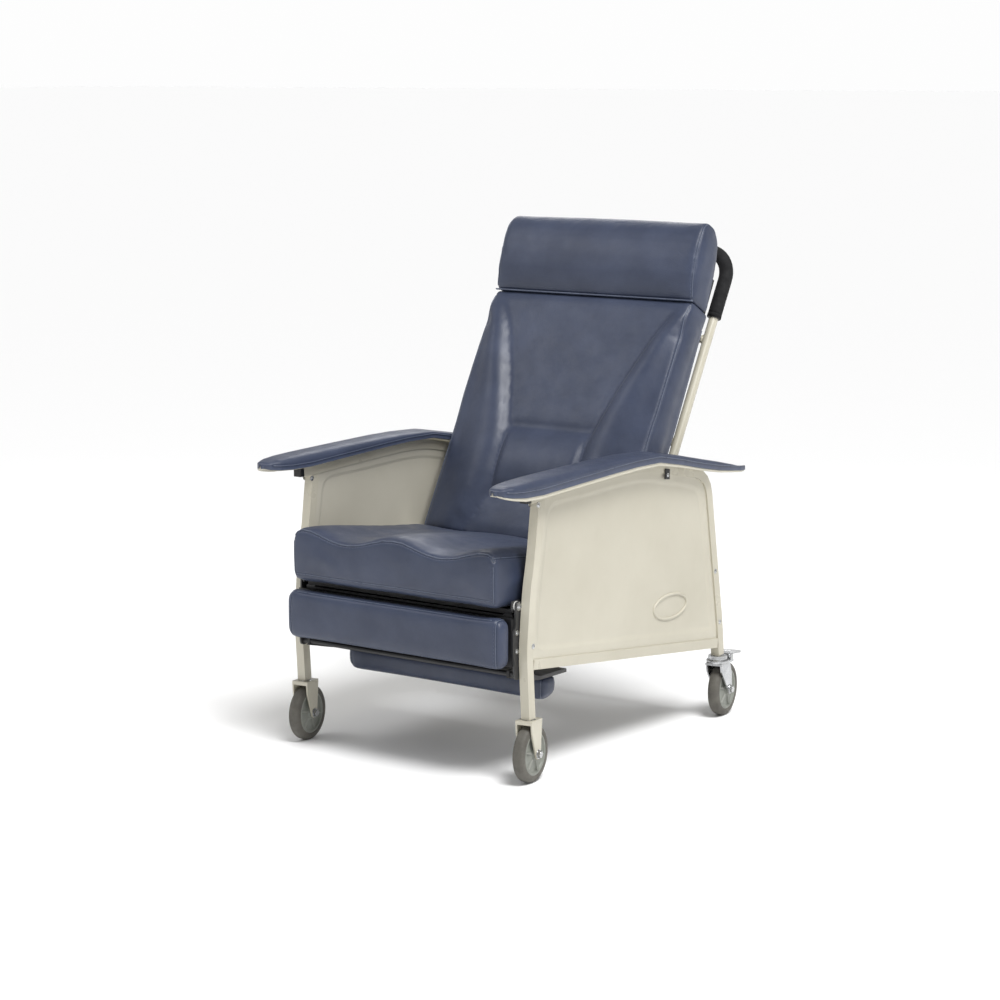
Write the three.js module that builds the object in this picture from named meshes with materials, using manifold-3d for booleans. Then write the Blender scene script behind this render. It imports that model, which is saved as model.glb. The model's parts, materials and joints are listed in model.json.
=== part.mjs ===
// Patient recliner chair: wheeled tube side frames, moulded side panels, padded arms, sliding tilted
// seat, reclining back with headrest and push bar, folding legrest and footrest, four swivel casters.
// Millimetres, +Z up. The chair faces -Y; +X is the chair's left side.
import * as THREE from 'three';
import { mergeVertices } from 'three/addons/utils/BufferGeometryUtils.js';
import Module from 'manifold-3d';

const wasm = await Module();
wasm.setup();

// ---- driving dimensions -------------------------------------------------------------------------
const SHIFT_Y = -388;              // puts the origin under the middle of the whole chair
const TUBE = 22;                   // square frame tube
const GAP = 0.4;                   // clearance left between touching parts
const LEG_X = 316;                 // centre of each side frame
const WHEEL_R = 63.5;              // five inch casters
const WHEEL_W = 28;
const WHEEL_TURN = 9;              // casters stand turned a little, degrees
const SEAT_SLOPE = 0.105;          // seat falls to the rear
const SEAT_Z0 = 376.5;             // underside of the seat cushion above y = 0
const SEAT_H = 121;
const BACK_LEAN = 28.6;            // back from vertical, degrees
const BACK_BASE = [392, 461];      // where the back's front face meets the seat, (y, z)
const BACK_HALF = 283;
const BACK_PIVOT = [400, 375];
const LIFT_PIVOT = [-12, 386];
const FOOT_PIVOT = [-16, 238];
const PUSH_X = 262;                // uprights of the push frame
const PUSH_T = 133;                // behind the back's front face
const BAR_S = 785;                 // push bar, measured up the back

const LEG_PATH = [[40, 640], [20, 484], [6, 420], [-7, 287], [2.9, 140.9]];
const TOP_PATH = [[-2, 618.7], [190, 630], [337, 637], [430, 637], [686, 587.5], [746, 224], [752.9, 151.2]];
const RAIL_PATH = [[8.3, 259.1], [736.6, 182.4]];

// ---- finishes -----------------------------------------------------------------------------------
const paint = (color, rough, metal = 0) => new THREE.MeshStandardMaterial({
  color, roughness: rough, metalness: metal });
const CREAM_STEEL = [0xcdc8b4, 0.45, 0.1];
const CREAM_PLASTIC = [0xd8d4c6, 0.6, 0];
const VINYL = [0x4e5a78, 0.5, 0];
const BLACK_STEEL = [0x1c1c1e, 0.5, 0.3];
const DARK = [0x18181a, 0.9, 0];
const NYLON = [0xe8e8e2, 0.5, 0];
const ZINC = [0xb8babd, 0.3, 0.9];
const TYRE = [0x5a5850, 0.8, 0];
const HUB = [0x8c9088, 0.6, 0];

const chair = new THREE.Group();
chair.name = 'patient_recliner_chair';

// ---- helpers ------------------------------------------------------------------------------------
function weld(geometry) {
  const g = geometry.index ? geometry.clone() : geometry;
  g.deleteAttribute('normal');
  g.deleteAttribute('uv');
  return mergeVertices(g, 1e-3);
}

function toSolid(geometry) {
  const g = weld(geometry);
  const index = Uint32Array.from(g.index.array);
  const verts = Float32Array.from(g.attributes.position.array);
  return new wasm.Manifold(new wasm.Mesh({ numProp: 3, vertProperties: verts, triVerts: index }));
}

function fromSolid(solid) {
  const m = solid.getMesh();
  const g = new THREE.BufferGeometry();
  g.setAttribute('position', new THREE.BufferAttribute(Float32Array.from(m.vertProperties), 3));
  g.setIndex(Array.from(m.triVerts));
  return g;
}

const join = (...list) => fromSolid(list.map(toSolid).reduce((a, b) => a.add(b)));
const cut = (base, ...list) => fromSolid(list.map(toSolid).reduce((a, b) => a.subtract(b), toSolid(base)));

function place(name, geometry, finish) {
  const g = weld(geometry);
  g.computeVertexNormals();
  const mesh = new THREE.Mesh(g, paint(...finish));
  mesh.name = name;
  chair.add(mesh);
}

function box(x0, x1, y0, y1, z0, z1) {
  const g = new THREE.BoxGeometry(x1 - x0, y1 - y0, z1 - z0);
  return g.translate((x0 + x1) / 2, (y0 + y1) / 2, (z0 + z1) / 2);
}

// Closed outline with rounded corners; radii may be one number or one per point.
function outline(points, radii = 0, steps = 4) {
  const out = [];
  points.forEach((p, i) => {
    const r = Array.isArray(radii) ? radii[i] : radii;
    const a = new THREE.Vector2(...points[(i + points.length - 1) % points.length]);
    const b = new THREE.Vector2(...p);
    const c = new THREE.Vector2(...points[(i + 1) % points.length]);
    const room = Math.min(r, a.distanceTo(b) * 0.49, b.distanceTo(c) * 0.49);
    if (room < 0.5) { out.push(b); return; }
    const s = b.clone().add(a.sub(b).setLength(room));
    const e = b.clone().add(c.sub(b).setLength(room));
    const q = new THREE.QuadraticBezierCurve(s, b, e);
    out.push(...q.getPoints(steps));
  });
  return out;
}

function slab(points, depth, holes = []) {
  const shape = new THREE.Shape(points.map((p) => new THREE.Vector2(p.x ?? p[0], p.y ?? p[1])));
  holes.forEach((h) => shape.holes.push(new THREE.Path(h)));
  return new THREE.ExtrudeGeometry(shape, { depth, bevelEnabled: false });
}

// Outline given in (y, z), pushed along X from x0 to x1.
function sideSlab(points, x0, x1, holes = []) {
  const turn = new THREE.Matrix4().makeBasis(
    new THREE.Vector3(0, 1, 0), new THREE.Vector3(0, 0, 1), new THREE.Vector3(1, 0, 0));
  return slab(points, x1 - x0, holes).applyMatrix4(turn).translate(x0, 0, 0);
}

function circle(cx, cy, r, n = 16) {
  return Array.from({ length: n }, (_, i) => {
    const a = (i / n) * 2 * Math.PI;
    return new THREE.Vector2(cx + r * Math.cos(a), cy + r * Math.sin(a));
  });
}

// Centreline with eased corners.
function eased(path, radius, steps = 5) {
  const out = [];
  path.forEach((p, i) => {
    const b = new THREE.Vector2(...p);
    if (i === 0 || i === path.length - 1) { out.push(b); return; }
    const a = new THREE.Vector2(...path[i - 1]);
    const c = new THREE.Vector2(...path[i + 1]);
    const room = Math.min(radius, a.distanceTo(b) * 0.45, b.distanceTo(c) * 0.45);
    const s = b.clone().add(a.sub(b).setLength(room));
    const e = b.clone().add(c.sub(b).setLength(room));
    out.push(...new THREE.QuadraticBezierCurve(s, b, e).getPoints(steps));
  });
  return out;
}

// Band of constant width along an eased centreline, as an outline.
function band(path, half, radius = 50, steps = 4) {
  const line = eased(path, radius, steps);
  const left = [];
  const right = [];
  line.forEach((p, i) => {
    const a = line[Math.max(0, i - 1)];
    const c = line[Math.min(line.length - 1, i + 1)];
    const d = c.clone().sub(a).normalize();
    left.push(new THREE.Vector2(p.x - d.y * half, p.y + d.x * half));
    right.push(new THREE.Vector2(p.x + d.y * half, p.y - d.x * half));
  });
  return [...left, ...right.reverse()];
}

function rod(x0, x1, y, z, r, n = 16) {
  return new THREE.CylinderGeometry(r, r, x1 - x0, n).rotateZ(Math.PI / 2).translate((x0 + x1) / 2, y, z);
}

// Skin through rings that share a point count, closed by a fan at each end.
function loft(rings) {
  const n = rings[0].length;
  const verts = rings.flat().flatMap((p) => p);
  const index = [];
  for (let k = 0; k < rings.length - 1; k += 1) {
    for (let i = 0; i < n; i += 1) {
      const a = k * n + i;
      const b = k * n + ((i + 1) % n);
      index.push(a, b, b + n, a, b + n, a + n);
    }
  }
  [0, rings.length - 1].forEach((k) => {
    const mid = [0, 1, 2].map((c) => rings[k].reduce((s, p) => s + p[c], 0) / n);
    const m = verts.length / 3;
    verts.push(...mid);
    for (let i = 0; i < n; i += 1) {
      const a = k * n + i;
      const b = k * n + ((i + 1) % n);
      if (k === 0) index.push(m, b, a); else index.push(m, a, b);
    }
  });
  const g = new THREE.BufferGeometry();
  g.setAttribute('position', new THREE.Float32BufferAttribute(verts, 3));
  g.setIndex(index);
  return volume(g) < 0 ? flip(g) : g;
}

function volume(g) {
  const p = g.attributes.position;
  const v = [0, 1, 2].map(() => new THREE.Vector3());
  let sum = 0;
  for (let i = 0; i < g.index.count; i += 3) {
    v.forEach((w, k) => w.fromBufferAttribute(p, g.index.getX(i + k)));
    sum += v[0].dot(v[1].clone().cross(v[2])) / 6;
  }
  return sum;
}

function flip(g) {
  const a = g.index.array;
  for (let i = 0; i < a.length; i += 3) [a[i + 1], a[i + 2]] = [a[i + 2], a[i + 1]];
  return g;
}

const seatPoint = (y, h) => [y, SEAT_Z0 - SEAT_SLOPE * y + h];
const LEAN = THREE.MathUtils.degToRad(BACK_LEAN);
// s runs up the back, t runs rearward from its front face.
const backPoint = (s, t) => [
  BACK_BASE[0] + s * Math.sin(LEAN) + t * Math.cos(LEAN),
  BACK_BASE[1] + s * Math.cos(LEAN) - t * Math.sin(LEAN)];
const SIDES = [['left', 1], ['right', -1]];
const span = (s, a, b) => (s > 0 ? [a, b] : [-b, -a]);

// ---- side frames --------------------------------------------------------------------------------
function sideFrame(side, s) {
  const [x0, x1] = span(s, LEG_X - TUBE / 2, LEG_X + TUBE / 2);
  const top = sideSlab(band(TOP_PATH, TUBE / 2), x0, x1);
  const topRoom = sideSlab(band(TOP_PATH, TUBE / 2 + GAP), x0 - 5, x1 + 5);
  const topEnd = box(x0 - 5, x1 + 5, 0, 90, 612, 700);
  const leg = cut(sideSlab(band(LEG_PATH, TUBE / 2, 40), x0, x1), topRoom, topEnd);
  place(`upper_side_tube_${side}`, top, CREAM_STEEL);
  place(`front_leg_${side}`, leg, CREAM_STEEL);
  place(`bottom_rail_${side}`, sideSlab(band(RAIL_PATH, TUBE / 2), x0, x1), CREAM_STEEL);
  place(`side_panel_${side}`, sidePanel(s, topRoom, x0, x1), CREAM_PLASTIC);
  const [c0, c1] = span(s, LEG_X - 10, LEG_X + 10);
  place(`tray_socket_cap_${side}`, box(c0, c1, -15, -2.6, 608.6, 628.6), DARK);
}

// Moulded panel: sunk field with a wide border, plain oval boss low at the rear.
function sidePanel(s, topRoom, x0, x1) {
  const crest = eased(TOP_PATH, 50, 4).filter((p) => p.x > 100 && p.y > 223).map((p) => [p.x, p.y]);
  const edge = [[40, 622], ...crest, [741, 182], [-5, 260.5], [-7, 287], [6, 420], [20, 484]];
  const [p0, p1] = span(s, LEG_X - 8, LEG_X + 7);
  const body = sideSlab(edge, p0, p1);
  const legRoom = sideSlab(band(LEG_PATH, TUBE / 2 + GAP, 40), x0 - 5, x1 + 5);
  const railRoom = sideSlab(band([[-20, 262.1], [760, 180]], TUBE / 2 + GAP), x0 - 5, x1 + 5);
  const field = outline([[50, 584], [22, 480], [14, 300], [712, 224], [612, 560], [465, 594]],
    [14, 8, 16, 18, 40, 60], 3);
  const [f0, f1] = span(s, LEG_X + 3, LEG_X + 12);
  const panel = cut(body, topRoom, legRoom, railRoom, sideSlab(field, f0, f1));
  const oval = (a, b, n) => circle(0, 0, 1, n).map((p) => new THREE.Vector2(544 + p.x * a, 300 + p.y * b));
  const [o0, o1] = span(s, LEG_X + 2, LEG_X + 4.4);
  return join(panel, sideSlab(oval(70, 30, 24), o0, o1, [oval(64, 25, 24)]));
}

// ---- arms ---------------------------------------------------------------------------------------
// y, inner x, outer x, board underside z, pad top z, lip drop
const ARM = [
  [-127, 314, 330, 638, 648, 0], [-118, 304, 341, 635, 653.5, 1], [-96, 294, 350, 632.5, 658, 4],
  [-60, 288, 356, 631, 661, 8], [0, 286, 357, 631, 664, 9], [134, 286, 357, 638.4, 668, 9],
  [270, 286, 357, 645.6, 671.5, 9], [350, 286, 357, 648.9, 671.5, 9], [440, 286, 357, 648.4, 668, 8],
  [530, 288, 356, 631.6, 653, 6], [620, 298, 353, 612.6, 634.5, 5], [700, 310, 350, 598, 618.5, 4],
  [762, 320, 346, 589, 605, 2], [800, 326, 342, 583.5, 596, 1], [824, 331, 338, 581, 590.5, 0]];

function arm(side, s) {
  const board = ARM.map(([y, a, b, z, , lip]) => {
    const wide = Math.min(12, (b - a) * 0.3);
    return [[a + 2, z + 0.6], [b - wide, z + 0.6], [b - wide + 2, z - lip], [b, z - lip], [b, z + 8],
      [a + 2, z + 8]].map(([x, h]) => [s * x, y, h]);
  });
  const pad = ARM.map(([y, a, b, z, t]) => {
    const low = z + 8 + GAP;
    const h = Math.max(2, t - low);
    const w = b - a;
    return [[a, low], [b - 1, low], [b, low + h * 0.45], [b - w * 0.1, low + h * 0.85], [b - w * 0.3, low + h],
      [a + w * 0.3, low + h], [a + w * 0.1, low + h * 0.85], [a, low + h * 0.45]].map(([x, q]) => [s * x, y, q]);
  });
  place(`arm_board_${side}`, loft(board), CREAM_PLASTIC);
  place(`arm_pad_${side}`, loft(pad), VINYL);
}

// ---- seat ---------------------------------------------------------------------------------------
function seatCushion() {
  const wave = (x) => -2 + 11 * Math.cos((2 * Math.PI * x) / 260);
  const xs = [-287, -281, -260, -195, -130, -65, 0, 65, 130, 195, 260, 281, 287];
  const rings = xs.map((x) => {
    const end = Math.abs(x) > 285 ? 7 : 0;
    const w = wave(x) * (end ? 0.4 : 1) - end;
    return [[352 - end, end], [-52 + end, end], [-67 + end, 7 + end], [-74 + end, 22], [-76 + end, 62],
      [-74 + end, 96 + w], [-62 + end, 114 + w], [-42, SEAT_H + w], [40, SEAT_H + w * 0.8],
      [150, SEAT_H + w * 0.4], [260, SEAT_H - end], [346, SEAT_H - 1 - end], [368 - end, 108 - end],
      [362 - end, 60]].map(([y, h]) => [x, ...seatPoint(y, h)]);
  });
  return loft(rings);
}

function seat() {
  const rail = (x0, x1) => sideSlab([seatPoint(-18, -36), seatPoint(416, -36), seatPoint(416, -11),
    seatPoint(-18, -11)], x0, x1);
  const lug = (s) => {
    const [y, z] = BACK_PIVOT;
    const foot = [seatPoint(372, -30), seatPoint(416, -30)];
    const shape = [...foot, [y + 18, z], [y + 13, z + 13], [y, z + 18], [y - 13, z + 13], [y - 18, z]];
    const [a, b] = span(s, 279, 289);
    const [c, d] = span(s, 266, 284);
    return [sideSlab(shape, a, b), rod(c, d, y, z, 8)];
  };
  const ties = [-18, 180, 330].map((y) => box(-275, 275, y, y + 24, seatPoint(y, -34)[1],
    seatPoint(y, -14)[1]));
  place('seat_frame', join(rail(264, 289), rail(-289, -264), ...ties, ...lug(1), ...lug(-1)), BLACK_STEEL);
  place('seat_board', sideSlab([seatPoint(-16, -10.6), seatPoint(350, -10.6), seatPoint(350, -GAP),
    seatPoint(-16, -GAP)], -286, 286), DARK);
  place('seat_cushion', seatCushion(), VINYL);
  SIDES.forEach(([side, s]) => {
    [['front', 30], ['rear', 300]].forEach(([end, at]) => {
      const [y, z] = seatPoint(at, -25);
      const [a, b] = span(s, 289.4, 298.4);
      place(`seat_roller_${end}_${side}`, rod(a, b, y, z, 10.6, 16), NYLON);
    });
    const [a, b] = span(s, 289.4, 299.6);
    const [c, d] = span(s, 299.5, 304.6);
    const floor = sideSlab([seatPoint(4, -39.4), seatPoint(420, -39.4), seatPoint(420, -36.2),
      seatPoint(4, -36.2)], a, b);
    const web = sideSlab([seatPoint(4, -39.4), seatPoint(360, -39.4), [372, 222], [404, 218],
      seatPoint(420, -39.4), seatPoint(420, -14), seatPoint(4, -14)], c, d);
    place(`seat_track_${side}`, join(floor, web), BLACK_STEEL);
  });
}

// ---- legrest and footrest -----------------------------------------------------------------------
function padBlock(half, profile, cap = 6) {
  const mid = [0, 1].map((k) => profile.reduce((q, p) => q + p[k], 0) / profile.length);
  const rings = [-half, -half + cap, half - cap, half].map((x) => profile.map(([y, z]) => {
    const f = Math.abs(x) === half ? cap : 0;
    return [x, y - Math.sign(y - mid[0]) * f, z - Math.sign(z - mid[1]) * f];
  }));
  return loft(rings);
}

function legrest() {
  SIDES.forEach(([side, s]) => {
    const [py, pz] = LIFT_PIVOT;
    const [hy, hz] = FOOT_PIVOT;
    const [a, b] = span(s, 290.6, 294);
    place(`legrest_carrier_${side}`, sideSlab(outline([[py - 14, pz + 12], [py - 14, pz - 13], [110, 359],
      [110, 375], [40, 384], [py + 16, pz + 12]], 6, 2), a, b), BLACK_STEEL);
    const [c, d] = span(s, 294.3, 298.2);
    place(`legrest_spacer_${side}`, rod(c, d, py, pz, 11, 16), NYLON);
    const [e, f] = span(s, 298.5, 302.5);
    place(`legrest_arm_${side}`, sideSlab(outline([[py - 11, pz + 11], [-25, 340], [-34, 332], [-34, 282],
      [-31, 270], [hy - 11, hz - 10], [hy + 11, hz - 10], [py + 11, pz - 30], [py + 11, pz + 11]], 7, 2), e, f),
    BLACK_STEEL);
  });
  place('legrest_board', box(-298, 298, -34, -25, 258, 361), DARK);
  place('legrest_pad', padBlock(300, [[-35, 256], [-35, 363], [-44, 367], [-62, 366], [-73, 356], [-76, 310],
    [-73, 263], [-62, 253], [-44, 252]], 5), VINYL);
}

// Two cranked bars carry a plate with the padded foot bar under its far end.
function footrest() {
  const [hy, hz] = FOOT_PIVOT;
  const bar = [[hy - 8, hz - 8], [52, 212], [84, 206], [108, 206], [108, 214], [90, 214], [58, 224],
    [hy + 3, hz + 9], [hy - 6, hz + 8]];
  const bars = SIDES.map(([, s]) => sideSlab(bar, ...span(s, 277, 284)));
  place('footrest_board', join(box(-284, 284, 88, 187, 206, 214), rod(-298, 298, hy, hz, 6, 12), ...bars),
    BLACK_STEEL);
  place('footrest_pad', padBlock(278, [[118, 205.6], [111, 182], [108, 165], [115, 153], [130, 150],
    [147, 152], [157, 164], [161, 185], [161, 205.6]].reverse(), 5), VINYL);
}

// ---- back ---------------------------------------------------------------------------------------
// s, half width of the centre panel, relief strength
const PANEL = [[-25, 190, 0.2], [20, 150, 0.7], [90, 116, 1], [180, 118, 1], [290, 148, 1], [400, 190, 1],
  [500, 226, 0.8], [575, 252, 0.3], [593, 252, 0]];
const boardT = (s) => 104.5 - 0.0405 * s;

function backCushion() {
  const rings = PANEL.map(([s, c, k], i) => {
    const end = i === 0 || i === PANEL.length - 1 ? 8 : 0;
    const rear = boardT(s) - 0.6;
    const soft = Math.min(c + 44, 262);
    const front = [[c * 0.45, -5 * k], [c - 16, 1 * k], [c, 9 * k], [soft, -9 * k], [BACK_HALF - 9, 6]];
    const half = [[BACK_HALF, 24], [BACK_HALF, rear - 16], [BACK_HALF - 8, rear]];
    const right = [...front, ...half];
    const ring = [[0, -6 * k + end], ...right.map(([x, t]) => [x, Math.max(t, -30) + (t < 20 ? end : 0)]),
      ...right.slice().reverse().map(([x, t]) => [-x, t + (t < 20 ? end : 0)])];
    return ring.map(([x, t]) => [x, ...backPoint(s, t)]);
  });
  return loft(rings);
}

function headrest() {
  const rows = [[594.6, 8, 66, 278], [604, -4, 74, 283], [650, -13, 73, 284], [715, -25, 66, 284],
    [760, -34, 54, 283], [780, -35, 40, 281], [790, -24, 26, 277], [794, -10, 14, 270]];
  return loft(rows.map(([s, f, r, w]) => [[w - 8, f], [-w + 8, f], [-w, f + 9], [-w, r - 9], [-w + 8, r],
    [w - 8, r], [w, r - 9], [w, f + 9]].map(([x, t]) => [x, ...backPoint(s, t)])));
}

// Inverted U of the push frame, as a smooth curve between two distances up the back.
function pushCurve(from) {
  const R = 60;
  const at = (x, s) => new THREE.Vector3(x, ...backPoint(s, PUSH_T));
  const path = new THREE.CurvePath();
  path.add(new THREE.LineCurve3(at(PUSH_X, from), at(PUSH_X, BAR_S - R)));
  path.add(new THREE.QuadraticBezierCurve3(at(PUSH_X, BAR_S - R), at(PUSH_X, BAR_S), at(PUSH_X - R, BAR_S)));
  path.add(new THREE.LineCurve3(at(PUSH_X - R, BAR_S), at(-PUSH_X + R, BAR_S)));
  path.add(new THREE.QuadraticBezierCurve3(at(-PUSH_X + R, BAR_S), at(-PUSH_X, BAR_S),
    at(-PUSH_X, BAR_S - R)));
  path.add(new THREE.LineCurve3(at(-PUSH_X, BAR_S - R), at(-PUSH_X, from)));
  return path;
}

// Round section carried along the push frame; rings sit square to the curve.
function pushTube(from, r, hole = 0, n = 14) {
  const path = pushCurve(from);
  const stops = [0];
  path.getCurveLengths().forEach((d, k) => {
    const before = k ? path.getCurveLengths()[k - 1] : 0;
    const cuts = k % 2 ? 5 : 1;
    for (let i = 1; i <= cuts; i += 1) stops.push(before + ((d - before) * i) / cuts);
  });
  const total = path.getLength();
  const normal = new THREE.Vector3(0, Math.cos(LEAN), -Math.sin(LEAN));
  const ring = (d, radius) => {
    const u = Math.min(1, d / total);
    const c = path.getPointAt(u);
    const tangent = path.getTangentAt(Math.min(0.9999, Math.max(0.0001, u)));
    const across = tangent.clone().cross(normal).normalize();
    return Array.from({ length: n }, (_, i) => {
      const a = (i / n) * 2 * Math.PI;
      return c.clone().addScaledVector(normal, radius * Math.cos(a)).addScaledVector(across,
        radius * Math.sin(a)).toArray();
    });
  };
  const outer = loft(stops.map((d) => ring(d, r)));
  if (!hole) return outer;
  const inner = loft([-30, ...stops.slice(1, -1), total + 30].map((d) => {
    if (d >= 0 && d <= total) return ring(d, hole);
    const [end, s] = d < 0 ? [0, from - 30] : [total, from - 30];
    const shift = new THREE.Vector3(0, ...backPoint(s, 0)).sub(new THREE.Vector3(0, ...backPoint(from, 0)));
    return ring(end, hole).map((p) => new THREE.Vector3(...p).add(shift).toArray());
  }));
  return cut(outer, inner);
}

function back() {
  const plate = (s0, s1, t0, t1, x0, x1) => sideSlab([backPoint(s0, t0), backPoint(s1, t0), backPoint(s1, t1),
    backPoint(s0, t1)].reverse(), x0, x1);
  const bars = [40, 300, 560].map((s) => rod(-PUSH_X, PUSH_X, ...backPoint(s, PUSH_T), 9, 12));
  const stands = [40, 300, 560].flatMap((s) => [-180, 180].map((x) => plate(s - 8, s + 8,
    boardT(s) + 9.8, PUSH_T - 4, x - 15, x + 15)));
  place('back_frame', join(pushTube(-12, 11), ...bars, ...stands), CREAM_STEEL);
  place('push_grip', pushTube(616, 19.5, 11.5), DARK);
  place('back_board', sideSlab([backPoint(-15, boardT(-15)), backPoint(-15, boardT(-15) + 9),
    backPoint(690, boardT(690) + 9), backPoint(690, boardT(690))], -266, 266), DARK);
  place('back_cushion', backCushion(), VINYL);
  place('headrest_cushion', headrest(), VINYL);
  const [py, pz] = BACK_PIVOT;
  const hole = circle(py, pz, 8.4, 16);
  const rim = (deg) => [py + 18 * Math.cos(deg * Math.PI / 180), pz + 18 * Math.sin(deg * Math.PI / 180)];
  const shape = [rim(265), backPoint(-22, 146), backPoint(70, 146), backPoint(80, 121), backPoint(0, 117),
    backPoint(-30, 108), rim(70), rim(115), rim(160), rim(205)];
  SIDES.forEach(([side, s]) => {
    const [a, b] = span(s, 273.4, 278.4);
    place(`recline_plate_${side}`, sideSlab(outline(shape, 3, 2), a, b, [hole]), BLACK_STEEL);
  });
}

// ---- casters ------------------------------------------------------------------------------------
function wheel(name, turn) {
  const W = WHEEL_W / 2;
  const tyre = [[48.4, -W + 2], [56, -W], [61, -W + 4], [WHEEL_R, -5], [WHEEL_R, 5], [61, W - 4], [56, W],
    [48.4, W - 2], [48.4, -W + 2]];
  const hub = [[6, -15], [13, -15], [15, -11], [40, -8], [44, -12], [48, -12], [48, 12], [44, 12], [40, 8],
    [15, 11], [13, 15], [6, 15], [6, -15]];
  [['tyre', tyre, TYRE, 28], ['hub', hub, HUB, 20]].forEach(([part, line, finish, n]) => {
    const g = new THREE.LatheGeometry(line.map((p) => new THREE.Vector2(...p)), n).rotateZ(Math.PI / 2);
    place(`${name}_${part}`, turn(g), finish);
  });
}

function caster(end, side, s) {
  const name = `${end}_caster_${side}`;
  const front = end === 'front';
  const [fy, trail] = front ? [3, 9] : [754, 31];
  const turn = (g) => g.rotateZ(THREE.MathUtils.degToRad(WHEEL_TURN)).translate(s * LEG_X, fy, 0);
  const at = (g) => turn(g.translate(0, trail, WHEEL_R));
  wheel(name, at);
  const axle = circle(trail, WHEEL_R, 12, 10).slice(5).map((p) => [p.x, p.y]);
  const cheek = front
    ? [[-22, 136], [-20, 110], ...axle, [24, 110], [26, 136]]
    : [[-24, 131], [-20, 112], ...axle, [40, 100], [28, 131]];
  const cap = front
    ? [box(-20, 20, -22, 26, 131, 139.4)]
    : [box(-21, 21, -24, 28, 127.5, 132.5), new THREE.CylinderGeometry(22, 24, 17, 20).rotateX(Math.PI / 2)
      .translate(0, 0, 141), box(-21, 21, 20, 46, 128.5, 134), box(-21, -18.4, 29, 43, 133, 147),
      box(18.4, 21, 29, 43, 133, 147)];
  const cheeks = [[-20, -16.5], [16.5, 20]].map(([a, b]) => sideSlab(cheek, a, b));
  const pin = rod(-22.5, 22.5, trail, WHEEL_R, 5.4, 12);
  place(`${name}_fork`, turn(join(...cap, ...cheeks, pin)), front ? CREAM_STEEL : ZINC);
  if (!front) {
    const pedal = outline([[30, 135], [40, 135], [46, 144], [100, 138], [103, 143], [44, 153],
      [30, 147]], 3, 2);
    place(`brake_pedal_${side}`, turn(join(sideSlab(pedal, -16, 16), rod(-18, 18, 36, 141, 5.5, 12))), ZINC);
  }
}

// ---- assembly -----------------------------------------------------------------------------------
SIDES.forEach(([side, s]) => {
  sideFrame(side, s);
  arm(side, s);
  caster('front', side, s);
  caster('rear', side, s);
});
place('front_cross_tube', rod(-304.6, 304.6, 250, 233.6, 11, 16), CREAM_STEEL);
place('rear_cross_tube', rod(-304.6, 304.6, 749, 200, 10, 16), CREAM_STEEL);
seat();
legrest();
footrest();
back();
chair.children.forEach((mesh) => mesh.geometry.translate(0, SHIFT_Y, 0));

export default chair;
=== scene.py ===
"""Looks of the patient recliner chair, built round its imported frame: metres, +Z up, facing -Y."""
import json
import math

import bmesh
import bpy
import numpy as np
from mathutils import Matrix, Vector
from mathutils.bvhtree import BVHTree
from mathutils.kdtree import KDTree


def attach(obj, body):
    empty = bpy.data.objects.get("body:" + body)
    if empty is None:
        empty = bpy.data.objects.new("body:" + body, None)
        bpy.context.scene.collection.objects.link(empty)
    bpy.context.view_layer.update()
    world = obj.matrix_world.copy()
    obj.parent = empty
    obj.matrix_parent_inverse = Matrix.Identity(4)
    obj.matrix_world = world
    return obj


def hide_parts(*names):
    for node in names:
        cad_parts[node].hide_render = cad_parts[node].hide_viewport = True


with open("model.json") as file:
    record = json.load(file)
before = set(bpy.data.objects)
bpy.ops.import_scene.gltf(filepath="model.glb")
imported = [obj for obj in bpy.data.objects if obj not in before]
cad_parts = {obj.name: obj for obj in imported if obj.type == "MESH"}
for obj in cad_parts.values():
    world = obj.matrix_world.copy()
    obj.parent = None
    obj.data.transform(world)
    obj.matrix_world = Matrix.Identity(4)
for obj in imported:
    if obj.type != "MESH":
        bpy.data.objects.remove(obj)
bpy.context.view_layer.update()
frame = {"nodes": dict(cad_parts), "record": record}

# Design measures are in mm: x from the middle, y rearward from the front-leg axis, z from the floor.
MM = 0.001
SHIFT = -388.0                       # front-leg axis to the middle of the chair
LEAN = math.radians(28.6)            # back from vertical
SEAT_FALL = 0.105                    # drop of the seat for each mm rearward
SEAT_Z0 = 376.5                      # seat's underside at the front-leg axis
BACK_BASE = (392.0, 461.0)           # y, z where the back's front plane starts
SIDES = (("left", 1), ("right", -1))
CLOTH_FRAMES = 20
SEAM_STEP = 0.004                    # spacing of the points along a sewn line, metres
STITCH_HALF, STITCH_WIDE, STITCH_HIGH = 0.0021, 0.0006, 0.0007


# ---- geometry helpers ---------------------------------------------------------------------------
def at(x, y, z):
    """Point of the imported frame, metres, from design measures."""
    return Vector((x * MM, (y + SHIFT) * MM, z * MM))


def back_yz(s, t):
    """y, z of a place s up the back and t behind its front plane."""
    return (BACK_BASE[0] + s * math.sin(LEAN) + t * math.cos(LEAN),
            BACK_BASE[1] + s * math.cos(LEAN) - t * math.sin(LEAN))


def back_at(x, s, t):
    return at(x, *back_yz(s, t))


def seat_at(x, y, h):
    """Point h above the seat's sloping underside."""
    return at(x, y, SEAT_Z0 - SEAT_FALL * y + h)


def ease(lo, hi, v):
    """Smooth step from 0 at lo to 1 at hi."""
    k = min(1.0, max(0.0, (v - lo) / (hi - lo)))
    return k * k * (3 - 2 * k)


def table(rows, v, column=1):
    """Value of a column at v, between the rows' first entries."""
    return float(np.interp(v, [r[0] for r in rows], [r[column] for r in rows]))


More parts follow.
